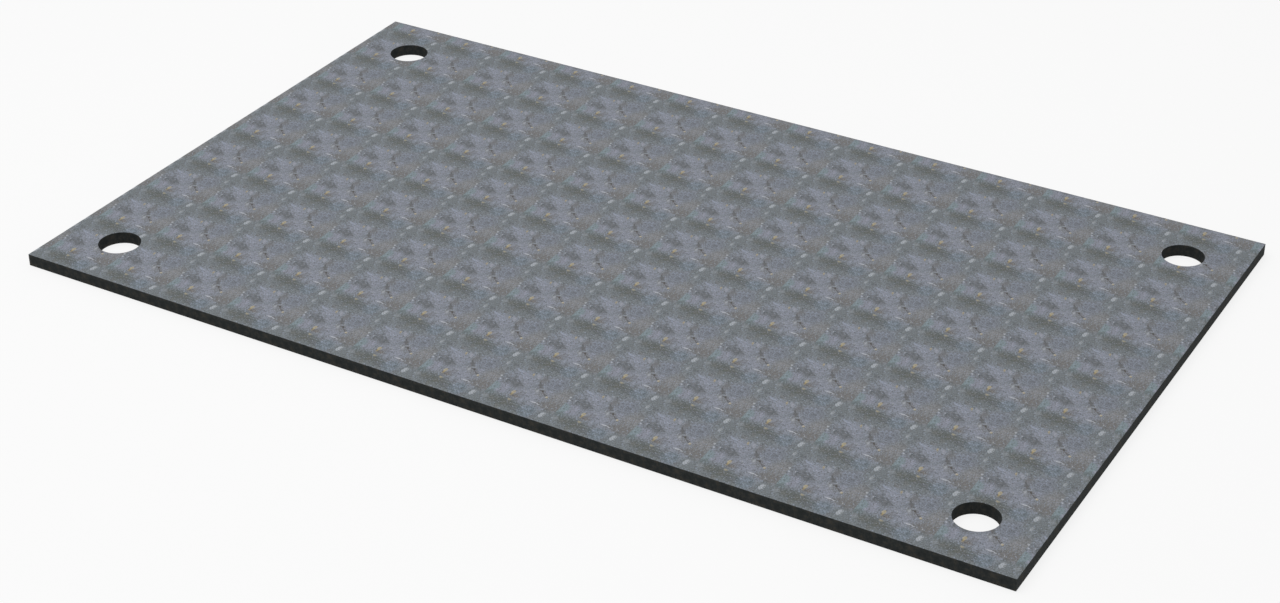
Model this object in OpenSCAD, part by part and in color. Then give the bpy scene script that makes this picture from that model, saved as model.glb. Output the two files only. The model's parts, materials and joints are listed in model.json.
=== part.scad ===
// Steel road plate: one flat, hot-rolled plate with a lifting hole near each corner.
// Millimetres. The plate lies flat with its underside on z = 0, its length along X
// and its width along Y. The origin is the middle of the underside.

/* [Plate] */
// Length of the plate, along X
plate_length = 2500; // [1000:10:6000]
// Width of the plate, along Y
plate_width = 1500; // [800:10:3000]
// Thickness of the rolled plate
plate_thickness = 30; // [12:1:60]
// Width of the 45 degree edge break on the cut edges and hole rims
edge_break = 1; // [0.5:0.1:3]

/* [Lifting holes] */
// Diameter of each lifting hole
hole_diameter = 100; // [40:1:150]
// From each short edge to the hole centres, along the length
hole_inset_x = 150; // [100:1:300]
// From each long edge to the hole centres, along the width
hole_inset_y = 150; // [100:1:300]

/* [Hidden] */
$fn = 96;
// Hole centres, from the middle of the plate
hole_x = plate_length / 2 - hole_inset_x;
hole_y = plate_width / 2 - hole_inset_y;
// How far a cutting shape runs past the face that it cuts
overcut = 2;

// A rectangle centred on the origin, with its four corners cut off at 45 degrees
module broken_rectangle(size_x, size_y, cut) {
    x = size_x / 2;
    y = size_y / 2;
    polygon([
        [x - cut, -y], [x, -y + cut], [x, y - cut], [x - cut, y],
        [-x + cut, y], [-x, y - cut], [-x, -y + cut], [-x + cut, -y]
    ]);
}

// The plate before its holes are cut: the shape that its plan, its section across
// the width and its section along the length have in common
module plate_blank() {
    translate([0, 0, plate_thickness / 2])
        intersection() {
            linear_extrude(plate_thickness, center = true)
                broken_rectangle(plate_length, plate_width, edge_break);
            rotate([90, 0, 90])
                linear_extrude(plate_length, center = true)
                    broken_rectangle(plate_width, plate_thickness, edge_break);
            rotate([90, 0, 0])
                linear_extrude(plate_width, center = true)
                    broken_rectangle(plate_length, plate_thickness, edge_break);
        }
}

// What a lifting hole takes away: a round bore that flares at both rims
module lifting_hole() {
    bore = hole_diameter / 2;
    flare = bore + edge_break + overcut;
    rotate_extrude()
        polygon([
            [0, -overcut], [flare, -overcut],
            [bore, edge_break], [bore, plate_thickness - edge_break],
            [flare, plate_thickness + overcut], [0, plate_thickness + overcut]
        ]);
}

// The finished plate: mottled blue-grey mill scale, cut in one piece
module road_plate() {
    color([0.475, 0.49, 0.51])
        difference() {
            plate_blank();
            for (x = [-hole_x, hole_x], y = [-hole_y, hole_y])
                translate([x, y, 0])
                    lifting_hole();
        }
}

road_plate();
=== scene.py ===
"""The looks of the steel road plate: mottled mill scale, dark cut edges, a white studio."""

import json
import math
from collections import namedtuple

import bmesh
import bpy
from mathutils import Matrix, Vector
from mathutils.geometry import delaunay_2d_cdt


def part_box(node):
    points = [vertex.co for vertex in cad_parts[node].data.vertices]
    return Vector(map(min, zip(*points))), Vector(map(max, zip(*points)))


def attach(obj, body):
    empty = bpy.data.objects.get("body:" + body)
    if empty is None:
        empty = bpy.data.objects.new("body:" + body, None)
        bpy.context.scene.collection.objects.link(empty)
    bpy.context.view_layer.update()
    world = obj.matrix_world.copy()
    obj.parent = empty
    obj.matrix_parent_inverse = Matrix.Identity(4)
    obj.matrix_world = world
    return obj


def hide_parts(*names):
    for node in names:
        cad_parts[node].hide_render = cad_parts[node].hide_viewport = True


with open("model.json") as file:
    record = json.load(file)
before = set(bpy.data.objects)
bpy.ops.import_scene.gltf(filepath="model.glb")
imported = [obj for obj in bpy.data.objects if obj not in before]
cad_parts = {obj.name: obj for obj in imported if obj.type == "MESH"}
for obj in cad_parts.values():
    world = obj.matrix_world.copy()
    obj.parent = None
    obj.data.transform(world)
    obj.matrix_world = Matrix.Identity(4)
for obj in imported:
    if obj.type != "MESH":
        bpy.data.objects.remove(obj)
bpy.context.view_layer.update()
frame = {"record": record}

# Sizes of the plate, in metres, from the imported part
PLATE_LOW, PLATE_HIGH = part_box("road_plate")
BORES = [mount for mount in frame["record"]["mounts"] if mount["kind"] == "bore"]
HOLE_CENTRES = [Vector(bore["pos_m"][:2]) for bore in BORES]
HOLE_RADIUS = BORES[0]["dims"]["r_mm"] / 1000
EDGE_BREAK = (PLATE_HIGH.z - PLATE_LOW.z - BORES[0]["dims"]["length_mm"] / 1000) / 2

# The flat of the traffic face, inside its rounded edges
FLAT_LOW = PLATE_LOW.xy + Vector((EDGE_BREAK, EDGE_BREAK))
FLAT_HIGH = PLATE_HIGH.xy - Vector((EDGE_BREAK, EDGE_BREAK))
FLAT_RIM = HOLE_RADIUS + EDGE_BREAK

# How finely the mesh divides a hole's rim, a rounded edge and the side of a repeat
RIM_STEPS = 128
BREAK_STEPS = 2
SQUARES_PER_REPEAT = 4
FULL_TURN = 2 * math.pi
# Where the outline bends by more than this, it turns a corner
SHARP_ANGLE = math.radians(60)
# A face belongs to a flat if its normal points up or down by more than this, and else to a cut face
FLAT_NORMAL = 0.6
# Points of the plan nearer than this are one point
POINT_MERGE = 0.0002
# How the plan is divided: along all its lines, into faces that a mesh can hold
ALONG_ALL_LINES = 4

# The mottling of the mill scale repeats on a square grid. This is the side of one repeat, and how far
# the first whole repeat starts from the plate's left and front edges.
REPEAT = 0.1755
FIRST_SEAM = Vector((PLATE_LOW.x + 0.0208, PLATE_LOW.y + 0.0514))

# The kinds of surface, in the order of the plate's materials, and where each lies on the baked map: its
# lower left corner and the side of one repeat. Like repeats lie on top of each other, so each gets many
# pixels.
BakeArea = namedtuple("BakeArea", "left bottom side")
BAKE_AREAS = {
    "traffic_face": BakeArea(0.01, 0.01, 0.72),
    "underside": BakeArea(0.75, 0.01, 0.24),
    "cut_face": BakeArea(0.01, 0.80, 0.98),
}
SURFACES = list(BAKE_AREAS)

# Camera: it looks at a point on the traffic face, azimuth 0 looks along +Y
CAMERA_AIM = Vector((0.1195, -0.2076, PLATE_HIGH.z))
CAMERA_AZIMUTH = 30.0
CAMERA_ELEVATION = 31.077
CAMERA_DISTANCE = 5.733
CAMERA_LENS_MM = 70.9
SENSOR_WIDTH_MM = 36.0
CAMERA_SHIFT_X = -0.00705

# Light
AMBIENT = 0.5
KEY_PLACE = Vector((-0.9, -1.0, 6.0))
KEY_AIM = Vector((0.0, 0.0, 0.0))
KEY_SIDE = 6.0
KEY_WATTS = 172.0
FLOOR_SIDE = 60.0
FLOOR_DROP = 0.0005
# How much of the floor's white is its own; the rest is light, which the plate's shadow dims
FLOOR_OWN_WHITE = 0.8
FLOOR_COLOUR = (0.95, 0.95, 0.95)


def paint(red, green, blue):
    """A colour given as it looks on a screen, 0 to 255, as the linear colour that a shader takes."""
    def linear(level):
        share = level / 255
        return share / 12.92 if share <= 0.04045 else ((share + 0.055) / 1.055) ** 2.4
    return (linear(red), linear(green), linear(blue), 1.0)


# Colours of the mill scale
LAVENDER = paint(130, 135, 144)
LILAC = paint(140, 143, 155)
GREEN_GREY = paint(114, 120, 123)
DARK_GREEN = paint(86, 91, 87)
OLIVE = paint(101, 102, 96)
BLUE_GREY = paint(112, 123, 132)
TEAL = paint(125, 139, 144)
DULL_TEAL = paint(109, 120, 122)
SLATE = paint(98, 101, 104)
BLUE_SLATE = paint(119, 124, 134)
BROWN_GREY = paint(126, 126, 126)
BROWN = paint(109, 107, 104)
UMBER = paint(80, 76, 70)
# Painted shadow: the brown shadow beside the big ochre fleck
PAINTED_SHADOW_BROWN = paint(106, 97, 84)
OCHRE = paint(176, 163, 125)
DARK_OCHRE = paint(154, 138, 96)
PALE_OCHRE = paint(174, 165, 143)
PALE = paint(163, 168, 173)
PALE_BLUE = paint(150, 158, 174)
PALE_LILAC = paint(155, 158, 168)
WHITE = paint(200, 203, 210)
PIT_DARK = paint(88, 90, 90)
# Colours of the other surfaces
# Painted shade: the cut faces and hole walls are coloured near black to stand in for the shade they lie in
CUT_PAINTED_SHADE_BLACK = paint(51, 54, 54)
CUT_PAINTED_SHADE_BROWN = paint(58, 57, 53)
UNDERSIDE_GREY = paint(112, 115, 120)
UNDERSIDE_BROWN = paint(108, 104, 100)

# By how much the noise darkens and lightens red, green and blue
CLOUD_DARK = (0.87, 0.87, 0.86, 1.0)
CLOUD_LIGHT = (1.13, 1.13, 1.14, 1.0)
GRAIN_DARK = (0.40, 0.45, 0.43, 1.0)
GRAIN_LIGHT = (1.60, 1.55, 1.57, 1.0)
STAIN_DARK = (0.60, 0.60, 0.58, 1.0)
STAIN_LIGHT = (1.40, 1.40, 1.42, 1.0)
# Nearly all noise lies between these two values
NOISE_LOW = 0.25
NOISE_HIGH = 0.75
NOISE_MIDDLE = (NOISE_LOW + NOISE_HIGH) / 2
# By how much the grain breaks up the outline of a mark, in parts of the mark's half size
OUTLINE_BREAKS = 0.15
# How metallic and how shiny a surface is, and how deep its relief is, in metres
SCALE_METALLIC = 0.25
SCALE_SHINE = 0.3
SCALE_RELIEF = 0.0004
CUT_METALLIC = 0.0
CUT_SHINE = 0.02
CUT_RELIEF = 0.0003

# A mark in the repeat. Its centre and half size are parts of the repeat, from the seams at its left and
# front; tilt is in degrees; edge is how soft its outline is; strength is how much of its colour shows.
# A mark runs on across a seam into the next repeat, unless it is cut at the side.
Mark = namedtuple("Mark", "colour centre half_size tilt edge strength cut_at_side", defaults=[False])

# Broad patches with ragged outlines, one of them a painted shadow
PATCHES = [
    Mark(GREEN_GREY, (0.24, 0.80), (0.44, 0.20), -4, 0.35, 0.90),
    Mark(GREEN_GREY, (0.93, 0.70), (0.15, 0.33), 0, 0.50, 0.88),
    Mark(GREEN_GREY, (0.56, 0.71), (0.14, 0.09), -30, 0.60, 0.60),
    Mark(DARK_GREEN, (0.36, 0.86), (0.27, 0.10), -14, 0.60, 0.82),
    Mark(OLIVE, (0.17, 0.88), (0.07, 0.05), 0, 0.60, 0.60),
    Mark(OLIVE, (0.37, 0.87), (0.08, 0.05), -10, 0.60, 0.70),
    Mark(OLIVE, (0.30, 0.75), (0.03, 0.06), 15, 0.60, 0.60),
    Mark(SLATE, (0.52, 0.80), (0.11, 0.04), -20, 0.60, 0.60),
    Mark(SLATE, (0.55, 0.95), (0.05, 0.04), 0, 0.60, 0.50),
    Mark(BLUE_GREY, (0.68, 0.84), (0.11, 0.12), 20, 0.40, 0.90),
    Mark(BLUE_SLATE, (0.70, 0.52), (0.14, 0.13), 0, 0.60, 0.85),
    Mark(BROWN, (0.51, 0.54), (0.05, 0.09), 15, 0.60, 0.55),
    Mark(BROWN, (0.24, 0.66), (0.05, 0.03), -20, 0.60, 0.50),
    # Painted shadow: this dark slate patch stands in for a shadow in the mottling
    Mark(SLATE, (0.20, 0.30), (0.15, 0.09), -20, 0.70, 0.88),
    Mark(SLATE, (0.03, 0.65), (0.04, 0.03), 0, 0.60, 0.70),
    Mark(LILAC, (0.15, 0.14), (0.08, 0.10), 0, 0.25, 0.95),
    Mark(LILAC, (0.29, 0.45), (0.18, 0.08), -33, 0.35, 0.45),
    Mark(LILAC, (0.52, 0.16), (0.19, 0.09), -8, 0.60, 0.60),
    Mark(LILAC, (0.71, 0.32), (0.06, 0.05), 0, 0.60, 0.80),
    Mark(BROWN_GREY, (0.93, 0.23), (0.17, 0.24), 0, 0.45, 0.85, True),
    Mark(BROWN, (0.87, 0.06), (0.18, 0.08), 0, 0.60, 0.80, True),
    Mark(BROWN, (0.40, 0.13), (0.05, 0.05), 0, 0.60, 0.35),
    Mark(BROWN_GREY, (0.60, 0.27), (0.11, 0.07), -30, 0.60, 0.50),
]

# Flecks, cracks, rust marks, a painted shadow beside the big ochre fleck and the teal corner, with finer
# outlines
FLECKS = [
    Mark(DULL_TEAL, (0.03, 0.00), (0.10, 0.06), -10, 0.35, 0.80, True),
    Mark(TEAL, (0.00, 0.115), (0.110, 0.110), 0, 0.15, 0.95, True),
    Mark(UMBER, (0.495, 0.470), (0.012, 0.045), 20, 0.60, 0.45),
    Mark(UMBER, (0.534, 0.388), (0.028, 0.046), 15, 0.80, 0.70),
    Mark(UMBER, (0.625, 0.302), (0.036, 0.020), -20, 0.60, 0.95),
    Mark(UMBER, (0.690, 0.252), (0.048, 0.015), -30, 0.60, 0.85),
    # Painted shadow beside the big ochre fleck
    Mark(PAINTED_SHADOW_BROWN, (0.378, 0.050), (0.055, 0.036), 0, 0.80, 0.70),
    Mark(UMBER, (0.800, 0.760), (0.015, 0.035), 0, 0.60, 0.40),
    Mark(PALE_LILAC, (0.402, 0.565), (0.030, 0.060), 35, 0.20, 0.85),
    Mark(PALE_BLUE, (0.135, 0.570), (0.056, 0.011), -20, 0.60, 0.85),
    Mark(PALE_BLUE, (0.225, 0.602), (0.030, 0.009), -10, 0.60, 0.60),
    Mark(PALE_BLUE, (0.190, 0.520), (0.060, 0.007), -32, 0.60, 0.70),
    Mark(PALE_BLUE, (0.270, 0.530), (0.050, 0.007), -40, 0.60, 0.70),
    Mark(PALE_BLUE, (0.310, 0.455), (0.060, 0.007), -38, 0.60, 0.70),
    Mark(PALE_BLUE, (0.080, 0.480), (0.045, 0.007), -25, 0.60, 0.60),
    Mark(PALE_BLUE, (0.660, 0.610), (0.045, 0.007), -30, 0.60, 0.55),
    Mark(PALE_BLUE, (0.720, 0.350), (0.040, 0.008), -20, 0.60, 0.60),
    Mark(PALE_BLUE, (0.630, 0.880), (0.050, 0.014), 15, 0.60, 0.40),
    Mark(PALE, (0.888, 0.862), (0.032, 0.064), -10, 0.20, 0.95),
    Mark(PALE, (0.872, 0.838), (0.022, 0.030), 20, 0.30, 0.75),
    Mark(PALE, (0.907, 0.655), (0.022, 0.044), 0, 0.30, 0.75),
    Mark(PALE, (0.055, 0.885), (0.045, 0.035), 0, 0.60, 0.30),
    Mark(PALE, (0.443, 0.632), (0.012, 0.022), 30, 0.50, 0.65),
    Mark(PALE, (0.562, 0.280), (0.015, 0.032), 15, 0.50, 0.70),
    Mark(PALE, (0.515, 0.304), (0.010, 0.018), 15, 0.50, 0.60),
    Mark(PALE, (0.600, 0.350), (0.030, 0.010), 0, 0.60, 0.50),
    Mark(PALE, (0.450, 0.195), (0.011, 0.030), 25, 0.60, 0.50),
    Mark(WHITE, (0.655, 0.045), (0.040, 0.010), -4, 0.60, 0.80),
    Mark(WHITE, (0.725, 0.034), (0.050, 0.005), -10, 0.60, 0.70),
    Mark(WHITE, (0.840, 0.030), (0.007, 0.013), 20, 0.60, 0.60),
    Mark(WHITE, (0.990, 0.360), (0.012, 0.017), 20, 0.30, 1.00),
    Mark(WHITE, (0.016, 0.292), (0.010, 0.016), 20, 0.30, 0.85),
    Mark(WHITE, (0.088, 0.325), (0.008, 0.012), 20, 0.50, 0.50),
    Mark(DARK_OCHRE, (0.322, 0.070), (0.012, 0.036), 0, 0.50, 0.90),
    Mark(OCHRE, (0.323, 0.116), (0.024, 0.034), 0, 0.40, 0.90),
    Mark(PALE_OCHRE, (0.318, 0.108), (0.012, 0.018), 0, 0.60, 0.80),
    Mark(OCHRE, (0.331, 0.567), (0.015, 0.030), 15, 0.40, 0.75),
    Mark(OCHRE, (0.362, 0.954), (0.027, 0.017), -10, 0.50, 0.55),
    Mark(PALE_OCHRE, (0.735, 0.214), (0.016, 0.023), 20, 0.40, 0.90),
]


# Mesh of the plate

def grid_lines(axis):
    """Places of the lines that divide the plate evenly, with every seam of the repeats among them."""
    step = REPEAT / SQUARES_PER_REPEAT
    first = math.ceil((FLAT_LOW[axis] - FIRST_SEAM[axis]) / step)
    last = math.floor((FLAT_HIGH[axis] - FIRST_SEAM[axis]) / step)
    return [FIRST_SEAM[axis] + i * step for i in range(first, last + 1)]


def flat_faces():
    """The flat of the traffic face in plan, as points and faces: an even grid, cut away in the holes."""
    points = []
    edges = []

    def add_path(places, closed=False):
        first = len(points)
        points.extend(Vector(place) for place in places)
        edges.extend((i, i + 1) for i in range(first, len(points) - 1))
        if closed:
            edges.append((len(points) - 1, first))

    left, front = FLAT_LOW
    right, back = FLAT_HIGH
    add_path([(left, front), (right, front), (right, back), (left, back)], closed=True)
    for x in grid_lines(0):
        add_path([(x, front), (x, back)])
    for y in grid_lines(1):
        add_path([(left, y), (right, y)])
    turns = [FULL_TURN * i / RIM_STEPS for i in range(RIM_STEPS)]
    spokes = [FLAT_RIM * Vector((math.cos(turn), math.sin(turn))) for turn in turns]
    for centre in HOLE_CENTRES:
        add_path([centre + spoke for spoke in spokes], closed=True)
    places, _, faces, *_ = delaunay_2d_cdt(points, edges, [], ALONG_ALL_LINES, POINT_MERGE)
    return places, [face for face in faces if not all(on_rim(places[i]) for i in face)]


def nearest_hole(place):
    """The centre of the hole nearest to a place in the plan, and how far off it is."""
    centre = min(HOLE_CENTRES, key=lambda c: (c - place).length)
    return centre, (centre - place).length


def on_rim(place):
    """Whether a place in the plan lies on the rim of a hole or within it."""
    return nearest_hole(place)[1] < FLAT_RIM + POINT_MERGE


def rim_loops(faces):
    """The rims of the flat as loops of points, each with the flat on its left."""
    sides = {side for face in faces for side in zip(face, face[1:] + face[:1])}
    following = {start: end for start, end in sides if (end, start) not in sides}
    loops = []
    while following:
        loop = [min(following)]
        while loop[-1] in following:
            loop.append(following.pop(loop[-1]))
        loops.append(loop[1:])
    return loops


def ways_out(before, place, after):
    """The ways out of the flat at a point of its rim: one, or a fan of them round a corner of the outline."""
    if on_rim(place):
        return [(nearest_hole(place)[0] - place).normalized()]
    first, last = [Vector((run.y, -run.x)).normalized() for run in (place - before, after - place)]
    if first.angle(last) < SHARP_ANGLE:
        return [first]
    return [first.slerp(last, i / BREAK_STEPS) for i in range(BREAK_STEPS + 1)]


def edge_profile():
    """The steps between the two flats: how far out from their rim each is, and how high."""
    turns = [math.pi / 2 * (i + 1) / BREAK_STEPS for i in range(BREAK_STEPS)]
    steps = [(EDGE_BREAK * math.sin(turn), EDGE_BREAK * (1 - math.cos(turn))) for turn in turns]
    upper = [(out, PLATE_HIGH.z - drop) for out, drop in steps]
    lower = [(out, PLATE_LOW.z + drop) for out, drop in reversed(steps)]
    return upper + lower


def wrap_edge(mesh, places, loop, top, bottom):
    """Faces from a rim of the traffic face, over the rounded edge and down the wall, to the underside."""
    columns = []
    for before, i, after in zip(loop[-1:] + loop[:-1], loop, loop[1:] + loop[:1]):
        for way in ways_out(places[before], places[i], places[after]):
            between = [mesh.verts.new((*(places[i] + out * way), height)) for out, height in edge_profile()]
            columns.append([top[i], *between, bottom[i]])
    round_wall = on_rim(places[loop[0]])
    wall = BREAK_STEPS
    for column, following in zip(columns, columns[1:] + columns[:1]):
        for step in range(len(column) - 1):
            # Two columns at a corner of the outline share the flat's point, which counts once
            ring = [*column[step:step + 2], *reversed(following[step:step + 2])]
            face = mesh.faces.new(list(dict.fromkeys(ring)))
            face.smooth = step != wall or round_wall
        # The wall ends in a crisp line above and below
        for step in (wall, wall + 1):
            mesh.edges.get((column[step], following[step])).smooth = False


def build_plate():
    """One closed mesh of the plate, with rounded edges and its two maps."""
    places, faces = flat_faces()
    used = sorted({i for face in faces for i in face})
    mesh = bmesh.new()
    top = {i: mesh.verts.new((*places[i], PLATE_HIGH.z)) for i in used}
    bottom = {i: mesh.verts.new((*places[i], PLATE_LOW.z)) for i in used}
    for face in faces:
        mesh.faces.new([top[i] for i in face])
        mesh.faces.new([bottom[i] for i in reversed(face)])
    for loop in rim_loops(faces):
        wrap_edge(mesh, places, loop, top, bottom)
    bmesh.ops.recalc_face_normals(mesh, faces=mesh.faces[:])
    map_surfaces(mesh)
    data = bpy.data.meshes.new("plate_steel")
    mesh.to_mesh(data)
    mesh.free()
    for material in (mill_scale(), plain_scale(), cut_steel_in_painted_shade()):
        data.materials.append(material)
    plate = bpy.data.objects.new("plate_steel", data)
    bpy.context.scene.collection.objects.link(plate)
    return plate


def surface_of(face):
    """Which kind of surface a face belongs to, by the way it points."""
    if face.normal.z > FLAT_NORMAL:
        return "traffic_face"
    return "underside" if face.normal.z < -FLAT_NORMAL else "cut_face"


def map_surfaces(mesh):
    """Gives each face its material and its place in the repeat and on the baked map."""
    repeat_map = mesh.loops.layers.uv.new("repeat")
    bake_map = mesh.loops.layers.uv.new("OFBake")
    for face in mesh.faces:
        surface = surface_of(face)
        area = BAKE_AREAS[surface]
        face.material_index = SURFACES.index(surface)
        for loop in face.loops:
            across, along = place_in_repeat(face, loop.vert.co, surface)
            loop[repeat_map].uv = (across, along)
            loop[bake_map].uv = (area.left + across * area.side, area.bottom + along * area.side)


def place_in_repeat(face, corner, surface):
    """A corner's place in the repeat that its face lies in. On a cut face, the second part is the height."""
    centre = face.calc_center_median()
    cell = [math.floor((centre[i] - FIRST_SEAM[i]) / REPEAT) for i in (0, 1)]
    across, along = [(corner[i] - FIRST_SEAM[i]) / REPEAT - cell[i] for i in (0, 1)]
    if surface != "cut_face":
        return across, along
    height = (corner.z - PLATE_LOW.z) / REPEAT
    if nearest_hole(centre.xy)[1] < FLAT_RIM:
        return half_turn_place(centre.xy, corner.xy), height
    return (along if abs(face.normal.x) > abs(face.normal.y) else across), height


def half_turn_place(face_place, corner_place):
    """How far round its half of a hole's wall a corner is: each half is one repeat."""
    hole = nearest_hole(face_place)[0]
    away = face_place - hole
    turn = math.atan2(away.y, away.x) % FULL_TURN
    half_start = math.floor(turn / math.pi) * math.pi
    # A signed angle counts clockwise, and a turn the other way
    corner_turn = turn - away.angle_signed(corner_place - hole)
    return (corner_turn - half_start) / math.pi


# Materials

# A mix node's sockets for colours, by number: the share, the colour below, the one above, and the result
MIX_SHARE = 0
MIX_BELOW = 6
MIX_ABOVE = 7
MIX_RESULT = 2


class Shader:
    """A material's node tree, built one node at a time."""

    def __init__(self, name):
        self.material = bpy.data.materials.new(name)
        self.material.use_nodes = True
        self.tree = self.material.node_tree
        self.surface = self.tree.nodes["Principled BSDF"]

    def add(self, kind, inputs, **settings):
        """Adds a node with its settings and inputs."""
        node = self.tree.nodes.new("ShaderNode" + kind)
        for name, value in settings.items():
            setattr(node, name, value)
        self.feed(node, inputs)
        return node

    def feed(self, node, inputs):
        """Gives a node its inputs. One that is a socket is linked, and any other is set as a value."""
        for key, value in inputs.items():
            if isinstance(value, bpy.types.NodeSocket):
                self.tree.links.new(value, node.inputs[key])
            else:
                node.inputs[key].default_value = value

    def calculate(self, operation, *values):
        """The result of an operation on numbers."""
        return self.add("Math", dict(enumerate(values)), operation=operation).outputs["Value"]

    def vector(self, operation, *values):
        """The result of an operation on vectors or colours."""
        return self.add("VectorMath", dict(enumerate(values)), operation=operation).outputs["Vector"]

    def repeat_place(self):
        """The place in the repeat, 0 to 1 each way."""
        return self.add("UVMap", {}, uv_map="repeat").outputs["UV"]

    def looped_place(self, stretch=1.0):
        """The place in the repeat, bent round into a loop each way, so that noise read there has no seams.

        Two loops need four numbers, so it comes as a vector and a number. Noise comes out longer in the
        second direction, as many times as stretch says.
        """
        parts = self.add("SeparateXYZ", {"Vector": self.repeat_place()}).outputs
        loops = []
        for axis, lap in (("X", FULL_TURN), ("Y", FULL_TURN * stretch)):
            turn = self.calculate("MULTIPLY", parts[axis], FULL_TURN)
            for wave in ("COSINE", "SINE"):
                loops.append(self.calculate("DIVIDE", self.calculate(wave, turn), lap))
        vector = self.add("CombineXYZ", dict(zip("XYZ", loops))).outputs["Vector"]
        return vector, loops[-1]

    def noise(self, looped, scale, detail, roughness=0.5, output="Fac"):
        """Noise at a looped place."""
        vector, fourth = looped
        inputs = {"Vector": vector, "W": fourth, "Scale": scale, "Detail": detail, "Roughness": roughness}
        return self.add("TexNoise", inputs, noise_dimensions="4D").outputs[output]

    def shaken(self, place, looped, scale, reach, roughness):
        """The place moved a little by noise, so that outlines drawn on it are uneven."""
        noise = self.noise(looped, scale, detail=4.0, roughness=roughness, output="Color")
        centred = self.vector("SUBTRACT", noise, (NOISE_MIDDLE, NOISE_MIDDLE, NOISE_MIDDLE))
        return self.vector("MULTIPLY_ADD", centred, (reach, reach, 0.0), place)

    def fade(self, value, start, end, share=1.0):
        """A smooth change from 0 to the share while the value goes from start to end."""
        inputs = {"Value": value, "From Min": start, "From Max": end, "To Min": 0.0, "To Max": share}
        return self.add("MapRange", inputs, interpolation_type="SMOOTHSTEP").outputs["Result"]

    def spread(self, noise, low, high):
        """Noise spread over a range."""
        inputs = {
            "Value": noise,
            "From Min": NOISE_LOW,
            "From Max": NOISE_HIGH,
            "To Min": low,
            "To Max": high,
        }
        return self.add("MapRange", inputs, clamp=False).outputs["Result"]

    def mix(self, below, above, share):
        """A share of one colour laid over another."""
        inputs = {MIX_SHARE: share, MIX_BELOW: below, MIX_ABOVE: above}
        return self.add("Mix", inputs, data_type="RGBA").outputs[MIX_RESULT]

    def tint(self, colour, noise, dark, light):
        """The colour made darker and lighter by noise, each of its three parts by its own amount."""
        return self.vector("MULTIPLY", colour, self.mix(dark, light, self.spread(noise, low=0.0, high=1.0)))

    def mark(self, colour, place, mark, breaks):
        """The colour with one mark laid over it, its edge broken up."""
        # Each place goes with the nearest copy of the mark, or across a cut side with the one in its repeat
        wrap = (1.0 if mark.cut_at_side else 0.5, 0.5, 0.5)
        away = self.vector("SUBTRACT", place, (*mark.centre, 0.0))
        nearest = self.vector("WRAP", away, wrap, tuple(-half for half in wrap))
        inputs = {
            "Vector": nearest,
            "Rotation": (0.0, 0.0, math.radians(mark.tilt)),
            "Scale": (*mark.half_size, 1.0),
        }
        local = self.add("Mapping", inputs, vector_type="TEXTURE").outputs["Vector"]
        reach = self.add("VectorMath", {0: local}, operation="LENGTH").outputs["Value"]
        broken = self.calculate("ADD", reach, breaks)
        share = self.fade(broken, start=1 + mark.edge, end=1 - mark.edge, share=mark.strength)
        return self.mix(colour, mark.colour, share)

    def finish(self, colour, metallic, shine, roughness, height, relief):
        """Gives the surface its look, with relief from a height of 0 to 1, and returns the material."""
        bump = self.add("Bump", {"Height": height, "Strength": 1.0, "Distance": relief})
        self.feed(self.surface, {
            "Base Color": colour,
            "Metallic": metallic,
            "Roughness": roughness,
            "Specular IOR Level": shine,
            "Normal": bump.outputs["Normal"],
        })
        return self.material


def mill_scale():
    """The traffic face: lavender-grey scale with tinted patches, flecks of rust, painted shadows and a fine
    grain.
    """
    shader = Shader("mill_scale")
    place = shader.repeat_place()
    looped = shader.looped_place()
    cloud = shader.noise(looped, scale=13.0, detail=4.0, roughness=0.6)
    grain = shader.noise(looped, scale=46.0, detail=3.0, roughness=0.7)
    specks = shader.noise(looped, scale=62.0, detail=1.0)
    tinge = shader.noise(looped, scale=26.0, detail=3.0, roughness=0.6)
    ragged = shader.shaken(place, looped, scale=9.0, reach=0.11, roughness=0.55)
    uneven = shader.shaken(place, looped, scale=45.0, reach=0.03, roughness=0.5)
    breaks = shader.spread(grain, low=-OUTLINE_BREAKS, high=OUTLINE_BREAKS)
    colour = LAVENDER
    for patch in PATCHES:
        colour = shader.mark(colour, ragged, patch, breaks)
    colour = shader.mix(colour, GREEN_GREY, shader.fade(tinge, start=0.52, end=0.68, share=0.40))
    colour = shader.mix(colour, LILAC, shader.fade(tinge, start=0.46, end=0.30, share=0.35))
    for fleck in FLECKS:
        colour = shader.mark(colour, uneven, fleck, breaks)
    colour = shader.tint(colour, cloud, CLOUD_DARK, CLOUD_LIGHT)
    colour = shader.tint(colour, grain, GRAIN_DARK, GRAIN_LIGHT)
    colour = shader.mix(colour, PALE_BLUE, shader.fade(specks, start=0.58, end=0.70, share=0.85))
    colour = shader.mix(colour, PIT_DARK, shader.fade(specks, start=0.42, end=0.30, share=0.85))
    roughness = shader.spread(grain, low=0.58, high=0.76)
    return shader.finish(colour, SCALE_METALLIC, SCALE_SHINE, roughness, grain, SCALE_RELIEF)


def plain_scale():
    """The underside, which lies on the ground: dull grey-brown scale without marks."""
    shader = Shader("plain_scale")
    looped = shader.looped_place()
    stain = shader.noise(looped, scale=5.0, detail=5.0, roughness=0.6)
    grain = shader.noise(looped, scale=40.0, detail=4.0, roughness=0.7)
    colour = shader.mix(UNDERSIDE_GREY, UNDERSIDE_BROWN, shader.fade(stain, start=0.45, end=0.60))
    colour = shader.tint(colour, grain, GRAIN_DARK, GRAIN_LIGHT)
    roughness = shader.spread(grain, low=0.62, high=0.78)
    return shader.finish(colour, SCALE_METALLIC, SCALE_SHINE, roughness, grain, SCALE_RELIEF)


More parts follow.
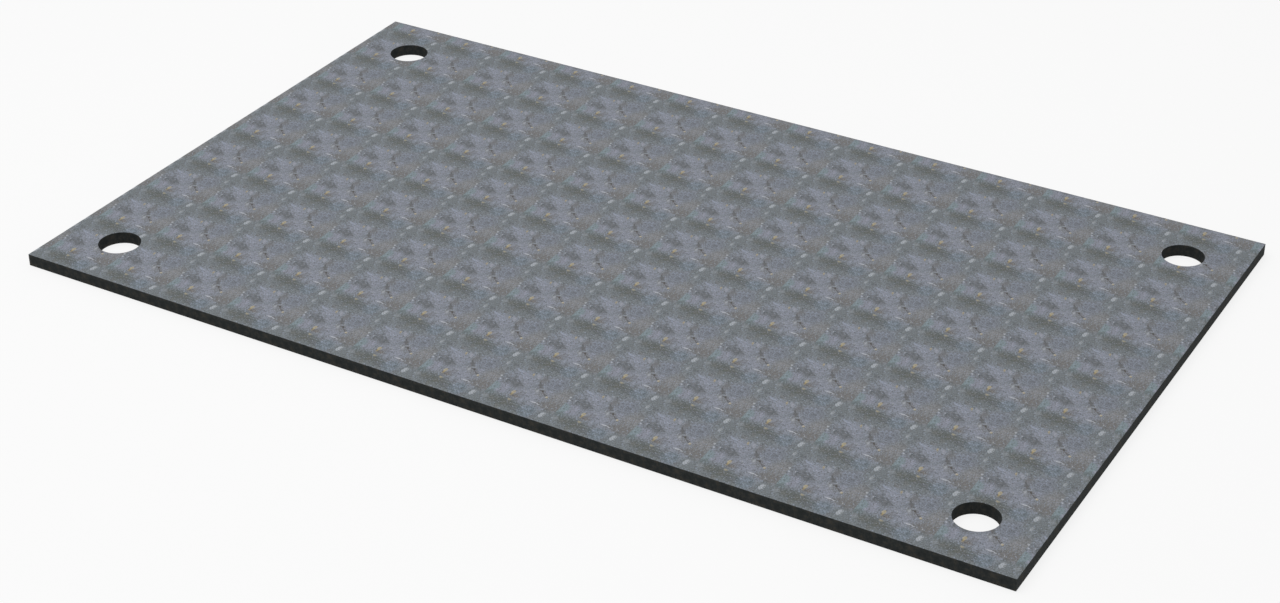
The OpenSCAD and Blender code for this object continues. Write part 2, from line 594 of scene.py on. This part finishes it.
def cut_steel_in_painted_shade():
    """Flame-cut edges and hole walls, with fine drag lines from top to bottom. Their near black is painted
    shade, standing in for the shade that the sides lie in.
    """
    shader = Shader("cut_steel_in_painted_shade")
    stain = shader.noise(shader.looped_place(), scale=12.0, detail=4.0, roughness=0.65)
    lines = shader.noise(shader.looped_place(stretch=12.0), scale=110.0, detail=2.0)
    # The near black base is painted shade on the cut faces and hole walls
    colour = shader.mix(CUT_PAINTED_SHADE_BLACK, CUT_PAINTED_SHADE_BROWN, shader.fade(stain, start=0.45, end=0.60))
    colour = shader.tint(colour, stain, STAIN_DARK, STAIN_LIGHT)
    colour = shader.tint(colour, lines, CLOUD_DARK, CLOUD_LIGHT)
    roughness = shader.spread(stain, low=0.60, high=0.75)
    return shader.finish(colour, CUT_METALLIC, CUT_SHINE, roughness, lines, CUT_RELIEF)


# Studio

def seen_directly(tree):
    """A socket that is 1 where the camera, a reflection or a see-through surface looks, and 0 elsewhere."""
    path = tree.nodes.new("ShaderNodeLightPath")
    total = path.outputs["Is Camera Ray"]
    for name in ("Is Glossy Ray", "Is Transmission Ray"):
        either = tree.nodes.new("ShaderNodeMath")
        either.operation = "MAXIMUM"
        tree.links.new(total, either.inputs[0])
        tree.links.new(path.outputs[name], either.inputs[1])
        total = either.outputs["Value"]
    return total


def make_floor():
    """A wide white floor that keeps the plate's soft shadow."""
    bpy.ops.mesh.primitive_plane_add(size=FLOOR_SIDE, location=(0, 0, PLATE_LOW.z - FLOOR_DROP))
    floor = bpy.context.object
    floor.name = "studio_floor"
    material = bpy.data.materials.new("studio_white")
    material.use_nodes = True
    tree = material.node_tree
    tree.nodes.clear()
    output = tree.nodes.new("ShaderNodeOutputMaterial")
    share = tree.nodes.new("ShaderNodeMath")
    share.operation = "MULTIPLY"
    share.inputs[1].default_value = FLOOR_OWN_WHITE
    lit = tree.nodes.new("ShaderNodeBsdfDiffuse")
    lit.inputs["Color"].default_value = (*FLOOR_COLOUR, 1.0)
    white = tree.nodes.new("ShaderNodeEmission")
    blend = tree.nodes.new("ShaderNodeMixShader")
    tree.links.new(seen_directly(tree), share.inputs[0])
    tree.links.new(share.outputs["Value"], blend.inputs["Fac"])
    tree.links.new(lit.outputs["BSDF"], blend.inputs[1])
    tree.links.new(white.outputs["Emission"], blend.inputs[2])
    tree.links.new(blend.outputs["Shader"], output.inputs["Surface"])
    floor.data.materials.append(material)


def make_world():
    """Even light from all round, white where it is seen directly."""
    world = bpy.data.worlds.new("studio")
    bpy.context.scene.world = world
    world.use_nodes = True
    tree = world.node_tree
    strength = tree.nodes.new("ShaderNodeMapRange")
    strength.inputs["To Min"].default_value = AMBIENT
    strength.inputs["To Max"].default_value = 1.0
    background = tree.nodes["Background"]
    background.inputs["Color"].default_value = (1.0, 1.0, 1.0, 1.0)
    tree.links.new(seen_directly(tree), strength.inputs["Value"])
    tree.links.new(strength.outputs["Result"], background.inputs["Strength"])


def make_key_light():
    """A large soft lamp above the plate, a little to its front left."""
    lamp = bpy.data.lights.new("key", "AREA")
    lamp.shape = "SQUARE"
    lamp.size = KEY_SIDE
    lamp.energy = KEY_WATTS
    key = bpy.data.objects.new("key", lamp)
    key.location = KEY_PLACE
    key.rotation_euler = (KEY_AIM - KEY_PLACE).to_track_quat("-Z", "Y").to_euler()
    bpy.context.scene.collection.objects.link(key)


def make_camera():
    """The camera at the photograph's viewing angle."""
    azimuth, elevation = math.radians(CAMERA_AZIMUTH), math.radians(CAMERA_ELEVATION)
    back = Vector((
        math.sin(azimuth) * math.cos(elevation),
        -math.cos(azimuth) * math.cos(elevation),
        math.sin(elevation),
    ))
    lens = bpy.data.cameras.new("camera")
    lens.lens = CAMERA_LENS_MM
    lens.sensor_width = SENSOR_WIDTH_MM
    lens.shift_x = CAMERA_SHIFT_X
    camera = bpy.data.objects.new("camera", lens)
    camera.location = CAMERA_AIM + back * CAMERA_DISTANCE
    camera.rotation_euler = (-back).to_track_quat("-Z", "Y").to_euler()
    bpy.context.scene.collection.objects.link(camera)
    bpy.context.scene.camera = camera


bpy.context.scene.view_settings.view_transform = "Standard"
make_camera()
make_world()
make_key_light()
make_floor()

plate = build_plate()
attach(plate, "root")
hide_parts("road_plate")
